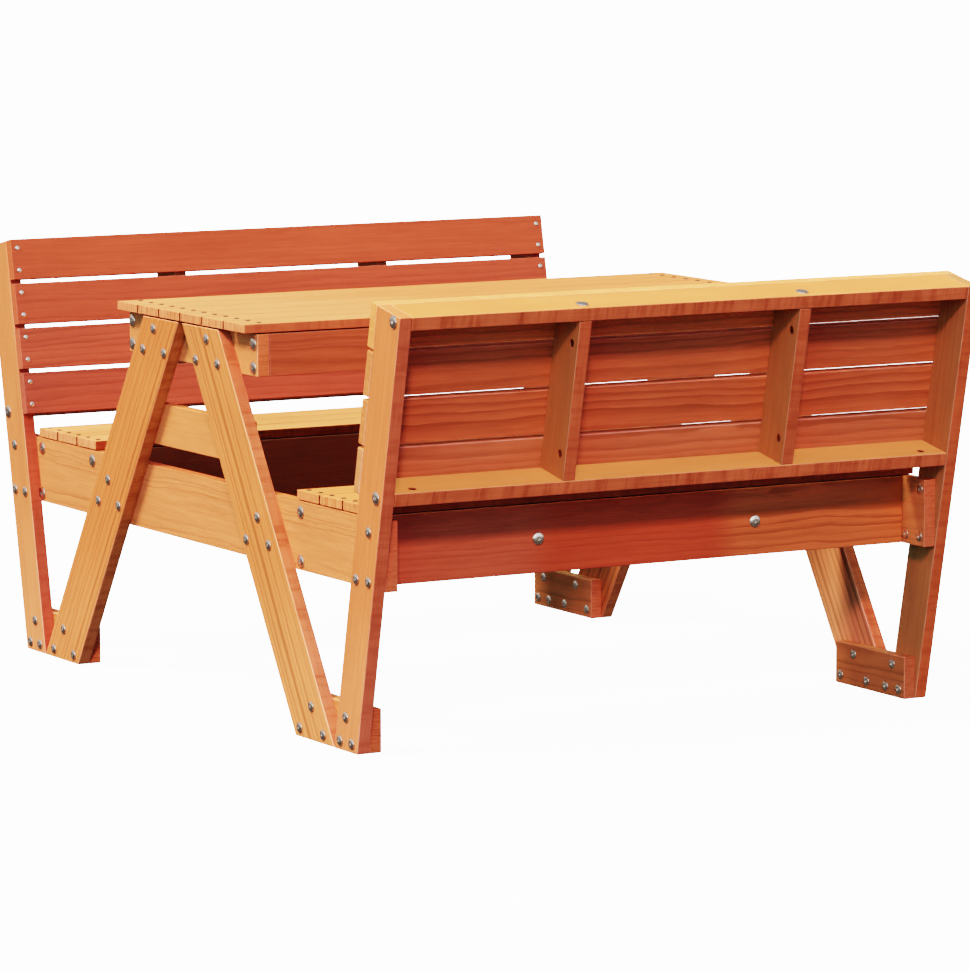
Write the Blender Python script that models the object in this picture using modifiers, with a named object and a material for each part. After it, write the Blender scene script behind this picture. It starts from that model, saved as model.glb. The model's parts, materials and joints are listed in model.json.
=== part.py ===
# Children's picnic table: a slatted table between two benches with leaning
# slatted backrests, all of it boards held by bolts and screws.
#
# Frame: X runs along the table and the benches, Y runs from one bench to the
# other, Z is up. The origin is on the ground under the middle of the table.
# The "near" bench is at -Y, the "far" bench at +Y, the "left" end frame at -X
# and the "right" end frame at +X.

import math

import bmesh
import bpy
from mathutils import Euler, Matrix, Vector

# ----------------------------------------------------------------- sizes, mm
MM = 0.001
GAP = 0.3                  # fitting gap between pieces that touch

LENGTH = 880.0             # over the outer faces of the two end frames
THICK = 18.0               # frame boards, aprons, rails, cleats and dividers

# table
TABLE_Z0 = 512.6           # underside of the tabletop
TABLE_Z1 = 526.0           # top of the tabletop
TABLE_HALF_Y = 190.4
TABLE_BOARDS = 6
BOARD_GAP = 2.0            # gap between two neighbouring top or seat boards
CLEAT_H = 56.7             # table cleats and table aprons

# seats
SEAT_Y0 = 299.8            # front edge of the seat
SEAT_Y1 = 485.8            # rear edge of the seat
SEAT_Z0 = 305.3
SEAT_Z1 = 319.0
SEAT_BOARDS = 3
BEAM_Z0 = 214.0            # crossbeams, seat aprons and seat cleats
BEAM_Z1 = 305.0
BEAM_HALF_Y = 538.0
STATION_X = 167.0          # seat cleats and backrest dividers, from the middle

# A-legs: parallel-sided, cut level at both ends
LEG_FOOT_IN = 326.8        # inner edge on the ground
LEG_FOOT_OUT = 433.1       # outer edge on the ground
LEG_TOP_IN = 5.0           # inner edge under the tabletop
LEG_TOP_Z = TABLE_Z0 - GAP

# posts: lean outwards, cut level below and square above
POST_FOOT_OUT = 494.6
POST_W = 60.0
POST_TOP_OUT = (610.1, 570.6)
LEAN = math.atan2(POST_TOP_OUT[0] - POST_FOOT_OUT, POST_TOP_OUT[1])
POST_S = (POST_TOP_OUT[1] / math.cos(LEAN))   # slant height of the outer edge

FOOT_H = 57.8
TIE_Z0, TIE_Z1, TIE_HALF_Y = 335.0, 392.3, 155.0

# backrest, measured along the post (s) and inwards from its outer edge (w)
SLATS = 4
SLAT_W = 57.5
SLAT_T = 14.7
BACK_S0 = 332.2            # bottom of the lowest slat
RAIL_W = 60.0
CONNECT_W = 14.5           # bolt line, inwards from the rail's outer edge

# fasteners and their holes
SIDES = 6                  # sides of a drilled hole
HOLE_CLEAR = 0.35
SHANK_R = 2.3              # bolts
BORE_R = 3.05              # bolt holes, across the corners
HEAD_H = 3.0               # domed bolt heads
BOLT_HEAD_R = 6.9          # frame bolts
CONN_HEAD_R = 8.5          # connector bolts
CONN_DEPTH = 33.0          # barrel nut, in from the end of its board
NUT_R = 4.8                # barrel nuts
NUT_HOLE_R = 5.95          # barrel nut holes, across the corners
NUT_PAST = 5.0             # how far a barrel nut reaches past its bolt's line
SCREW_R = 3.8              # countersunk screws
SLAT_SCREW_L, TOP_SCREW_L, TIE_SCREW_L = 34.0, 23.0, 30.0

HALF = LENGTH / 2          # outer face of posts and legs
IN1 = HALF - THICK         # inner face of posts and legs
OUT2 = IN1 - GAP           # outer face of the second layer (beams, blocks)
IN2 = IN1 - THICK          # inner face of the second layer
SPAN = IN2 - GAP           # half length of the aprons
SIN, COS = math.sin(LEAN), math.cos(LEAN)

# ------------------------------------------------------------- clean the file
for old in list(bpy.data.objects):
    bpy.data.objects.remove(old, do_unlink=True)

scene = bpy.context.scene
parts = bpy.data.collections.new("kids_picnic_table")
cutters = bpy.data.collections.new("cutters")
scene.collection.children.link(parts)
scene.collection.children.link(cutters)


# ---------------------------------------------------------------- materials
def material(name, color, rough, metal=0.0):
    m = bpy.data.materials.new(name)
    m.use_nodes = True
    bsdf = m.node_tree.nodes["Principled BSDF"]
    bsdf.inputs["Base Color"].default_value = (*color, 1.0)
    bsdf.inputs["Roughness"].default_value = rough
    bsdf.inputs["Metallic"].default_value = metal
    m.diffuse_color = (*color, 1.0)
    return m


PINE = (0.72, 0.33, 0.12)
STEEL = (0.62, 0.61, 0.60)


def empty(name, parent=None):
    e = bpy.data.objects.new(name, None)
    parts.objects.link(e)
    if parent:
        e.parent = parent
    return e


root = empty("picnic_table")
groups = {g: empty(g, root) for g in
          ("frame_left", "frame_right", "table", "bench_near", "bench_far", "fasteners")}

boards = {}
bores = {}     # board name -> prisms of its first cut
slots = {}     # board name -> prisms of its second cut


def finish_board(name, mesh, group, tone=0.0):
    obj = bpy.data.objects.new(name, mesh)
    parts.objects.link(obj)
    obj.parent = groups[group]
    color = tuple(min(1.0, c * (1.0 + tone)) for c in PINE)
    obj.data.materials.append(material(name + "_wood", color, 0.55))
    boards[name] = obj
    return obj


def box_board(name, group, center, size, tilt=0.0):
    """A square-cut board: centre and size in mm, turned by tilt about X."""
    bm = bmesh.new()
    bmesh.ops.create_cube(bm, size=1.0)
    bmesh.ops.scale(bm, vec=Vector(size) * MM, verts=bm.verts)
    mesh = bpy.data.meshes.new(name)
    bm.to_mesh(mesh)
    bm.free()
    obj = finish_board(name, mesh, group)
    obj.location = Vector(center) * MM
    obj.rotation_euler = Euler((tilt, 0.0, 0.0))
    return obj


def outline_board(name, group, outline, x_mid, thick, side):
    """A board cut to an outline of (distance from the middle, height)."""
    curve = bpy.data.curves.new(name + "_outline", "CURVE")
    curve.dimensions = "2D"
    curve.fill_mode = "BOTH"
    curve.extrude = thick * MM / 2
    spline = curve.splines.new("POLY")
    spline.points.add(len(outline) - 1)
    for point, (a, b) in zip(spline.points, outline):
        point.co = (a * MM, b * MM, 0.0, 1.0)
    spline.use_cyclic_u = True
    flat = bpy.data.objects.new(name + "_flat", curve)
    scene.collection.objects.link(flat)
    depsgraph = bpy.context.evaluated_depsgraph_get()
    mesh = bpy.data.meshes.new_from_object(flat.evaluated_get(depsgraph))
    mesh.name = name
    bm = bmesh.new()
    bm.from_mesh(mesh)
    bmesh.ops.remove_doubles(bm, verts=bm.verts, dist=0.00001)
    bmesh.ops.recalc_face_normals(bm, faces=bm.faces)
    bm.to_mesh(mesh)
    bm.free()
    mesh.materials.clear()
    bpy.data.objects.remove(flat, do_unlink=True)
    obj = finish_board(name, mesh, group)
    # local x -> side * Y, local y -> Z, local z -> side * X
    obj.matrix_local = Matrix(((0, 0, side, x_mid * MM),
                               (side, 0, 0, 0),
                               (0, 1, 0, 0),
                               (0, 0, 0, 1)))
    return obj


def slant(side, s, w, x=0.0):
    """Point s up the lean and w inwards from the post's outer edge."""
    return Vector((x, side * (POST_FOOT_OUT + s * SIN - w * COS), s * COS + w * SIN))


def slant_up(side):
    return Vector((0, side * SIN, COS))


def slant_out(side):
    return Vector((0, side * COS, -SIN))


# ------------------------------------------------------------------ fasteners
def axis_matrix(origin, direction, flat_to):
    """Local z along direction, a flat of the hexagon facing flat_to."""
    z = Vector(direction).normalized()
    y = Vector(flat_to)
    y = (y - y.dot(z) * z).normalized()
    x = y.cross(z)
    o = Vector(origin) * MM
    return Matrix(((x.x, y.x, z.x, o.x), (x.y, y.y, z.y, o.y),
                   (x.z, y.z, z.z, o.z), (0, 0, 0, 1)))


TURN = Matrix.Rotation(math.pi / SIDES, 4, "Z")
placed = {"frame_bolt": {}, "connector_bolt": {}, "barrel_nut": {}, "wood_screw": {}}


def cone(bm, frame, r1, r2, z0, z1):
    """Six-sided prism or cone from z0 (radius r1) to z1 (radius r2), in mm."""
    mat = frame @ Matrix.Translation((0, 0, (z0 + z1) / 2 * MM)) @ TURN
    bmesh.ops.create_cone(bm, cap_ends=True, cap_tris=False, segments=SIDES,
                          radius1=r1 * MM, radius2=r2 * MM, depth=(z1 - z0) * MM, matrix=mat)


def cut(board, frame, r1, r2, z0, z1, second=False):
    table = slots if second else bores
    table.setdefault(board, []).append((frame, r1, r2, z0, z1))


def frame_bolt(outer, inner, x_sign, y, z):
    """Bolt hole through a post or leg and the board behind it."""
    frame = axis_matrix((x_sign * HALF, y, z), (-x_sign, 0, 0), (0, 0, 1))
    length = HALF - IN2
    cut(outer, frame, BORE_R, BORE_R, -1.0, THICK + GAP / 2)
    cut(inner, frame, BORE_R, BORE_R, THICK + GAP / 2, length + 1.0)
    placed["frame_bolt"][(outer, inner, z)] = frame


def connector(first, second, origin, direction, through, nut_axis, reach, relief=None):
    """Holes for a connector bolt and its barrel nut.

    origin is on the first board's outer face, direction goes into the wood,
    through is the first board's thickness, and nut_axis is the direction in
    which the barrel nut is pushed in, from a face that is reach away from the
    bolt's line.
    """
    frame = axis_matrix(origin, direction, nut_axis)
    z_nut = through + CONN_DEPTH
    cut(first, frame, BORE_R, BORE_R, -1.0, through + GAP / 2)
    cut(second, frame, BORE_R, BORE_R, through + GAP / 2, z_nut)
    centre = Vector(origin) + Vector(direction).normalized() * z_nut
    nut_frame = axis_matrix(centre, nut_axis, direction)
    cut(second, nut_frame, NUT_HOLE_R, NUT_HOLE_R, -reach - 2.0, NUT_PAST + GAP, second=True)
    if relief:
        # hollow in the back of the post, over the bolt's head
        cut(relief, frame, CONN_HEAD_R + 0.6, CONN_HEAD_R + 0.6, -HEAD_H - 1.2, 1.0, second=True)
    placed["connector_bolt"][(first, second, Vector(origin).z)] = frame
    placed["barrel_nut"][(first, second, Vector(origin).z)] = nut_frame


def wood_screw(cover, into, origin, direction, thick, length):
    """Tapered hole for a countersunk screw, through a board into the next."""
    d = Vector(direction).normalized()
    flat = Vector((1, 0, 0)) if abs(d.x) < 0.5 else Vector((0, 0, 1))
    frame = axis_matrix(origin, d, flat)
    grade = SCREW_R / length
    wide = SCREW_R + HOLE_CLEAR
    cut(cover, frame, wide + grade, wide - grade * (thick + GAP / 2), -1.0, thick + GAP / 2)
    cut(into, frame, wide - grade * (thick + GAP / 2), 0.0, thick + GAP / 2, wide / grade)
    placed["wood_screw"].setdefault((cover, into), []).append(frame)


# ------------------------------------------------------------------ end frames
SX = {"left": -1, "right": 1}
SY = {"near": -1, "far": 1}

post_outline = [(POST_FOOT_OUT - POST_W / COS, 0.0), (POST_FOOT_OUT, 0.0), POST_TOP_OUT,
                (POST_TOP_OUT[0] - POST_W * COS, POST_TOP_OUT[1] + POST_W * SIN)]
leg_outline = [(LEG_FOOT_IN, 0.0), (LEG_FOOT_OUT, 0.0),
               (LEG_TOP_IN + LEG_FOOT_OUT - LEG_FOOT_IN, LEG_TOP_Z), (LEG_TOP_IN, LEG_TOP_Z)]

x_outer = (HALF + IN1) / 2
x_inner = (OUT2 + IN2) / 2
t_inner = OUT2 - IN2

for end, sx in SX.items():
    group = "frame_" + end
    box_board("crossbeam_" + end, group, (sx * x_inner, 0, (BEAM_Z0 + BEAM_Z1) / 2),
              (t_inner, 2 * BEAM_HALF_Y, BEAM_Z1 - BEAM_Z0))
    box_board("table_cleat_" + end, group, (sx * x_inner, 0, LEG_TOP_Z - CLEAT_H / 2),
              (t_inner, 2 * TABLE_HALF_Y, CLEAT_H))
    box_board("leg_tie_" + end, group, (sx * x_inner, 0, (TIE_Z0 + TIE_Z1) / 2),
              (t_inner, 2 * TIE_HALF_Y, TIE_Z1 - TIE_Z0))
    for bench, sy in SY.items():
        tag = end + "_" + bench
        outline_board("post_" + tag, group, post_outline, sx * x_outer, THICK, sy)
        outline_board("table_leg_" + tag, group, leg_outline, sx * x_outer, THICK, sy)
        box_board("foot_block_" + tag, group,
                  (sx * x_inner, sy * (LEG_FOOT_IN + POST_FOOT_OUT) / 2, FOOT_H / 2),
                  (t_inner, POST_FOOT_OUT - LEG_FOOT_IN, FOOT_H))

        for y, z in ((528.0, 291.5), (494.5, 227.5), (527.0, 227.5)):
            frame_bolt("post_" + tag, "crossbeam_" + end, sx, sy * y, z)
        for y, z in ((465.5, 45.0), (450.0, 12.5), (481.5, 12.5)):
            frame_bolt("post_" + tag, "foot_block_" + tag, sx, sy * y, z)
        for y, z in ((79.0, 497.5), (48.0, 467.0), (111.0, 467.0)):
            frame_bolt("table_leg_" + tag, "table_cleat_" + end, sx, sy * y, z)
        for y, z in ((223.5, 275.0), (191.5, 242.0), (255.0, 242.0)):
            frame_bolt("table_leg_" + tag, "crossbeam_" + end, sx, sy * y, z)
        for y, z in ((371.8, 45.0), (339.8, 12.5), (404.0, 12.5)):
            frame_bolt("table_leg_" + tag, "foot_block_" + tag, sx, sy * y, z)

        # leg tie: two screws from inside into each leg
        for y, z in ((139.0, 350.0), (109.0, 377.0)):
            wood_screw("leg_tie_" + end, "table_leg_" + tag, (sx * IN2, sy * y, z), (sx, 0, 0),
                       t_inner, TIE_SCREW_L)

# ------------------------------------------------------------------- tabletop
pitch = (2 * TABLE_HALF_Y + BOARD_GAP) / TABLE_BOARDS
for i in range(TABLE_BOARDS):
    y = -TABLE_HALF_Y + pitch * i + (pitch - BOARD_GAP) / 2
    name = "tabletop_board_%d" % (i + 1)
    box_board(name, "table", (0, y, (TABLE_Z0 + TABLE_Z1) / 2),
              (LENGTH, pitch - BOARD_GAP, TABLE_Z1 - TABLE_Z0))
    for end, sx in SX.items():
        for dy in (-15.9, 15.9):
            wood_screw(name, "table_cleat_" + end, (sx * 411.5, y + dy, TABLE_Z1), (0, 0, -1),
                       TABLE_Z1 - TABLE_Z0, TOP_SCREW_L)

for bench, sy in SY.items():
    name = "table_apron_" + bench
    y_mid = TABLE_HALF_Y - THICK / 2
    box_board(name, "table", (0, sy * y_mid, LEG_TOP_Z - CLEAT_H / 2), (2 * SPAN, THICK, CLEAT_H))
    for end, sx in SX.items():
        for z in (499.0, 467.5):
            connector("table_cleat_" + end, name, (sx * OUT2, sy * 179.5, z), (-sx, 0, 0), t_inner,
                      (0, sy, 0), 7.1)

# --------------------------------------------------------------------- benches
seat_pitch = (SEAT_Y1 - SEAT_Y0 + BOARD_GAP) / SEAT_BOARDS
slat_pitch = (POST_S - BACK_S0 - SLAT_W) / (SLATS - 1)
rail_s = {"top": POST_S - THICK / 2, "bottom": BACK_S0 + THICK / 2}
slat_w0 = POST_W + GAP

for bench, sy in SY.items():
    group = "bench_" + bench
    tilt = -sy * LEAN

    # seat boards
    for i in range(SEAT_BOARDS):
        y = SEAT_Y0 + seat_pitch * i + (seat_pitch - BOARD_GAP) / 2
        name = "seat_board_%s_%d" % (bench, i + 1)
        box_board(name, group, (0, sy * y, (SEAT_Z0 + SEAT_Z1) / 2),
                  (2 * OUT2, seat_pitch - BOARD_GAP, SEAT_Z1 - SEAT_Z0))
        for end, sx in SX.items():
            for dy in (-15.8, 15.8):
                wood_screw(name, "crossbeam_" + end, (sx * 411.5, sy * (y + dy), SEAT_Z1), (0, 0, -1),
                           SEAT_Z1 - SEAT_Z0, TOP_SCREW_L)

    # aprons under the seat
    for which, y_mid, y_bolt in (("front", SEAT_Y0 + THICK / 2 + 0.2, 310.5),
                                 ("rear", SEAT_Y1 - THICK / 2 + 0.2, 474.5)):
        name = "seat_apron_%s_%s" % (bench, which)
        inward = 1 if which == "front" else -1      # towards the middle of the seat
        box_board(name, group, (0, sy * y_mid, (BEAM_Z0 + BEAM_Z1) / 2),
                  (2 * SPAN, THICK, BEAM_Z1 - BEAM_Z0))
        for end, sx in SX.items():
            for z in (291.0, 226.0):
                relief = "post_%s_%s" % (end, bench) if which == "rear" and z < 250 else None
                reach = THICK / 2 + (y_mid - y_bolt) * inward     # bolt line to the nut's face
                connector("crossbeam_" + end, name, (sx * OUT2, sy * y_bolt, z), (-sx, 0, 0),
                          t_inner, (0, -sy * inward, 0), reach, relief)

    # cleats between the two aprons
    y0, y1 = SEAT_Y0 + THICK + 0.2 + GAP, SEAT_Y1 - THICK + 0.2 - GAP
    for end, sx in SX.items():
        name = "seat_cleat_%s_%s" % (bench, end)
        box_board(name, group, (sx * STATION_X, sy * (y0 + y1) / 2, (BEAM_Z0 + BEAM_Z1) / 2),
                  (THICK, y1 - y0, BEAM_Z1 - BEAM_Z0))
        z = (BEAM_Z0 + BEAM_Z1) / 2
        connector("seat_apron_%s_rear" % bench, name, (sx * STATION_X, sy * (SEAT_Y1 + 0.2), z),
                  (0, -sy, 0), THICK, (-sx, 0, 0), THICK / 2)
        connector("seat_apron_%s_front" % bench, name, (sx * STATION_X, sy * (SEAT_Y0 + 0.2), z),
                  (0, sy, 0), THICK, (-sx, 0, 0), THICK / 2)

    # backrest slats, on the inner edges of the posts
    for i in range(SLATS):
        s = POST_S - SLAT_W / 2 - slat_pitch * i
        name = "back_slat_%s_%d" % (bench, i + 1)
        box_board(name, group, slant(sy, s, slat_w0 + SLAT_T / 2), (LENGTH, SLAT_T, SLAT_W), tilt)
        for end, sx in SX.items():
            for ds in (-16.0, 16.0):
                wood_screw(name, "post_%s_%s" % (end, bench),
                           slant(sy, s + ds, slat_w0 + SLAT_T, sx * 430.0), slant_out(sy), SLAT_T,
                           SLAT_SCREW_L)

    # rails between the posts, dividers between the rails
    for level, s in rail_s.items():
        name = "back_rail_%s_%s" % (bench, level)
        box_board(name, group, slant(sy, s, RAIL_W / 2), (2 * OUT2, RAIL_W, THICK), tilt)
        push = slant_up(sy) * (1 if level == "top" else -1)   # nut goes in from the inner face
        for end, sx in SX.items():
            connector("post_%s_%s" % (end, bench), name, slant(sy, s, CONNECT_W, sx * HALF),
                      (-sx, 0, 0), THICK, push, THICK / 2)
    d0 = rail_s["bottom"] + THICK / 2 + GAP
    d1 = rail_s["top"] - THICK / 2 - GAP
    for end, sx in SX.items():
        name = "back_divider_%s_%s" % (bench, end)
        x = sx * STATION_X
        box_board(name, group, slant(sy, (d0 + d1) / 2, RAIL_W / 2, x), (THICK, RAIL_W, d1 - d0), tilt)
        # nuts open on the left face of the near bench, on the right face of the far bench
        push = (-sy, 0, 0)
        connector("back_rail_%s_top" % bench, name, slant(sy, POST_S, CONNECT_W, x), -slant_up(sy),
                  THICK, push, THICK / 2)
        connector("back_rail_%s_bottom" % bench, name, slant(sy, BACK_S0, CONNECT_W, x), slant_up(sy),
                  THICK, push, THICK / 2)


# ----------------------------------------------------------- cut every board
def cutter_object(name, items):
    bm = bmesh.new()
    for frame, r1, r2, z0, z1 in items:
        cone(bm, frame, r1, r2, z0, z1)
    bmesh.ops.recalc_face_normals(bm, faces=bm.faces)
    mesh = bpy.data.meshes.new(name)
    bm.to_mesh(mesh)
    bm.free()
    obj = bpy.data.objects.new(name, mesh)
    cutters.objects.link(obj)
    obj.hide_render = True
    obj.display_type = "WIRE"
    return obj


for table, suffix in ((bores, "_bores"), (slots, "_recesses")):
    for board, items in table.items():
        mod = boards[board].modifiers.new("cut" + suffix, "BOOLEAN")
        mod.operation = "DIFFERENCE"
        mod.solver = "EXACT"
        mod.object = cutter_object(board + suffix, items)


# ---------------------------------------------------------- fastener objects
# One of each kind, where it belongs. The others are the same, in the other holes.
def turned(name, profile, steps=16):
    """A solid turned about local z; profile is (radius, z) in mm, top to bottom."""
    mesh = bpy.data.meshes.new(name)
    mesh.from_pydata([(r * MM, 0.0, z * MM) for r, z in profile],
                     [(i, i + 1) for i in range(len(profile) - 1)], [])
    obj = bpy.data.objects.new(name, mesh)
    parts.objects.link(obj)
    obj.parent = groups["fasteners"]
    mesh.materials.append(material(name + "_steel", STEEL, 0.32, 1.0))
    screw = obj.modifiers.new("turn", "SCREW")
    screw.axis = "Z"
    screw.angle = 2 * math.pi
    screw.steps = steps
    screw.render_steps = steps
    screw.use_merge_vertices = True
    screw.merge_threshold = 0.00001
    return obj


def hex_socket(obj, radius, z0, z1):
    """Hexagonal socket from z0 up to z1 in the object's own frame."""
    bm = bmesh.new()
    cone(bm, Matrix.Identity(4), radius, radius, z0, z1)
    bm.transform(obj.matrix_world)
    mesh = bpy.data.meshes.new(obj.name + "_socket")
    bm.to_mesh(mesh)
    bm.free()
    tool = bpy.data.objects.new(obj.name + "_socket", mesh)
    cutters.objects.link(tool)
    tool.hide_render = True
    tool.display_type = "WIRE"
    mod = obj.modifiers.new("socket", "BOOLEAN")
    mod.operation = "DIFFERENCE"
    mod.solver = "EXACT"
    mod.object = tool


def dome(radius, height, base, points=4):
    """Profile of a low domed head from its crown to its rim."""
    rim = 0.35 * height
    line = []
    for i in range(points):
        a = i / points * math.pi / 2
        line.append((radius * math.sin(a), base + rim + (height - rim) * math.cos(a)))
    return line + [(radius, base + rim), (radius, base)]


FLIP = Matrix.Rotation(math.pi, 4, "X")     # local z out of the wood
length = HALF - IN2

bolt = turned("frame_bolt", dome(BOLT_HEAD_R, HEAD_H, GAP)
              + [(SHANK_R, GAP), (SHANK_R, -length - GAP)]
              + [(r, -length - GAP - (z - GAP)) for r, z in
                 [(BOLT_HEAD_R, GAP), (BOLT_HEAD_R, GAP + 0.8), (BOLT_HEAD_R * 0.7, GAP + 1.9),
                  (0.0, GAP + 2.2)]])
bolt.matrix_world = placed["frame_bolt"][("post_right_near", "crossbeam_right", 291.5)] @ FLIP
hex_socket(bolt, 2.4, 1.3, 5.0)

joint = next(k for k in placed["connector_bolt"]
             if k[0] == "post_left_near" and k[1] == "back_rail_near_top")
tip = THICK + CONN_DEPTH + 4.0
bolt = turned("connector_bolt", dome(CONN_HEAD_R, HEAD_H, GAP)
              + [(SHANK_R, GAP), (SHANK_R, -tip + 0.8), (SHANK_R - 0.8, -tip), (0.0, -tip)])
bolt.matrix_world = placed["connector_bolt"][joint] @ FLIP
hex_socket(bolt, 2.9, 1.3, 5.0)

nut = turned("barrel_nut", [(0.0, THICK / 2 - 0.6), (NUT_R - 0.4, THICK / 2 - 0.6),
                            (NUT_R, THICK / 2 - 1.0), (NUT_R, -NUT_PAST), (0.0, -NUT_PAST)])
nut.matrix_world = placed["barrel_nut"][joint] @ FLIP
thread = bmesh.new()
cone(thread, placed["connector_bolt"][joint], BORE_R, BORE_R,
     THICK + CONN_DEPTH - NUT_R - 2, THICK + CONN_DEPTH + NUT_R + 2)
thread_mesh = bpy.data.meshes.new("barrel_nut_thread")
thread.to_mesh(thread_mesh)
thread.free()
thread_tool = bpy.data.objects.new("barrel_nut_thread", thread_mesh)
cutters.objects.link(thread_tool)
thread_tool.hide_render = True
thread_tool.display_type = "WIRE"
mod = nut.modifiers.new("thread", "BOOLEAN")
mod.operation = "DIFFERENCE"
mod.solver = "EXACT"
mod.object = thread_tool

grade = SCREW_R / SLAT_SCREW_L
fit = math.cos(math.pi / SIDES)
screw_profile = [(0.0, -0.1), (SCREW_R * fit, -0.1), ((SCREW_R - grade * 4.0) * fit, -4.0),
                 (0.0, -SLAT_SCREW_L)]
screw = turned("wood_screw", screw_profile)
screw.matrix_world = placed["wood_screw"][("back_slat_near_1", "post_left_near")][0] @ FLIP
hex_socket(screw, 1.5, -1.6, 2.0)
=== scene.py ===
import json
import math
import random

import bmesh
import bpy
import numpy as np
from mathutils import Matrix, Vector

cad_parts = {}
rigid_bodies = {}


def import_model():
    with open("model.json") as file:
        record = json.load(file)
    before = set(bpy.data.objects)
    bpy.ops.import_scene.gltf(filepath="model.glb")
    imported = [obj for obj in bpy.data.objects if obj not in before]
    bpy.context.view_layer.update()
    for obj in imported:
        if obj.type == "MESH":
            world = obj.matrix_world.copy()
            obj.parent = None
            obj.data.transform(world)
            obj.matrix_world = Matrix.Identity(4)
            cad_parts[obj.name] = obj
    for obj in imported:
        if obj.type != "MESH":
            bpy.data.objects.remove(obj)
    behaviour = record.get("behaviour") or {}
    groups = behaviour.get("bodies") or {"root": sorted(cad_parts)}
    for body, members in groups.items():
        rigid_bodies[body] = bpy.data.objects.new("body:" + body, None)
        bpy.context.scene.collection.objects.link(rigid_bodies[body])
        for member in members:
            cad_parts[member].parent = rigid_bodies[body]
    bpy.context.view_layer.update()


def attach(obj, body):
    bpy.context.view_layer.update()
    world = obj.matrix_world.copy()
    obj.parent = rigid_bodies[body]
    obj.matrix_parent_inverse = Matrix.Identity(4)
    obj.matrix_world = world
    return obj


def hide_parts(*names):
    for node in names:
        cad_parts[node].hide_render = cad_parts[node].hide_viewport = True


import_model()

# Children's picnic table in stained pine: every board is its own rounded piece,
# drilled for its fasteners, with a wood figure of its own. Sizes are in mm and
# follow the CAD; meshes are in metres.
MM = 0.001
GAP = 0.3
HALF, THICK = 440.0, 18.0
IN1 = HALF - THICK
OUT2 = IN1 - GAP
IN2 = IN1 - THICK
SPAN = IN2 - GAP
T2 = OUT2 - IN2
TABLE_Z0, TABLE_Z1, TABLE_Y = 512.6, 526.0, 190.4
CLEAT_H = 56.7
SEAT_Y0, SEAT_Y1, SEAT_Z0, SEAT_Z1 = 299.8, 485.8, 305.3, 319.0
BEAM_Z0, BEAM_Z1, BEAM_Y = 214.0, 305.0, 538.0
STATION_X = 167.0
LEG_TOP_Z = TABLE_Z0 - GAP
POST_OUT, POST_W = 494.6, 60.0
POST_TOP = (610.1, 570.6)
LEAN = math.atan2(POST_TOP[0] - POST_OUT, POST_TOP[1])
SIN, COS = math.sin(LEAN), math.cos(LEAN)
POST_S = POST_TOP[1] / COS
FOOT_H = 57.8
SLAT_W, SLAT_T, BACK_S0 = 57.5, 14.7, 332.2
RAIL_W, CONNECT_W = 60.0, 14.5
CONN_DEPTH = 33.0
SEAM, SEAT_SEAM = 1.5, 1.1          # the dark joints under the tabletop and seat boards
SX = {"left": -1, "right": 1}
SY = {"near": -1, "far": 1}

scene = bpy.context.scene


# ------------------------------------------------------------------- camera
cam_data = bpy.data.cameras.new("camera")
cam = bpy.data.objects.new("camera", cam_data)
scene.collection.objects.link(cam)
scene.camera = cam
cam_data.sensor_width = 36.0
cam_data.sensor_fit = "AUTO"
cam_data.lens = 5387.0 * 36.0 / 971.0
cam_data.clip_start, cam_data.clip_end = 0.5, 200.0
look_az, look_down = math.radians(29.93), math.radians(7.43)
forward = Vector((math.sin(look_az) * math.cos(look_down),
                  math.cos(look_az) * math.cos(look_down), -math.sin(look_down)))
cam.location = (-3.6815, -6.4528, 1.2318)
cam.rotation_mode = "QUATERNION"
cam.rotation_quaternion = forward.to_track_quat("-Z", "Y")


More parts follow.
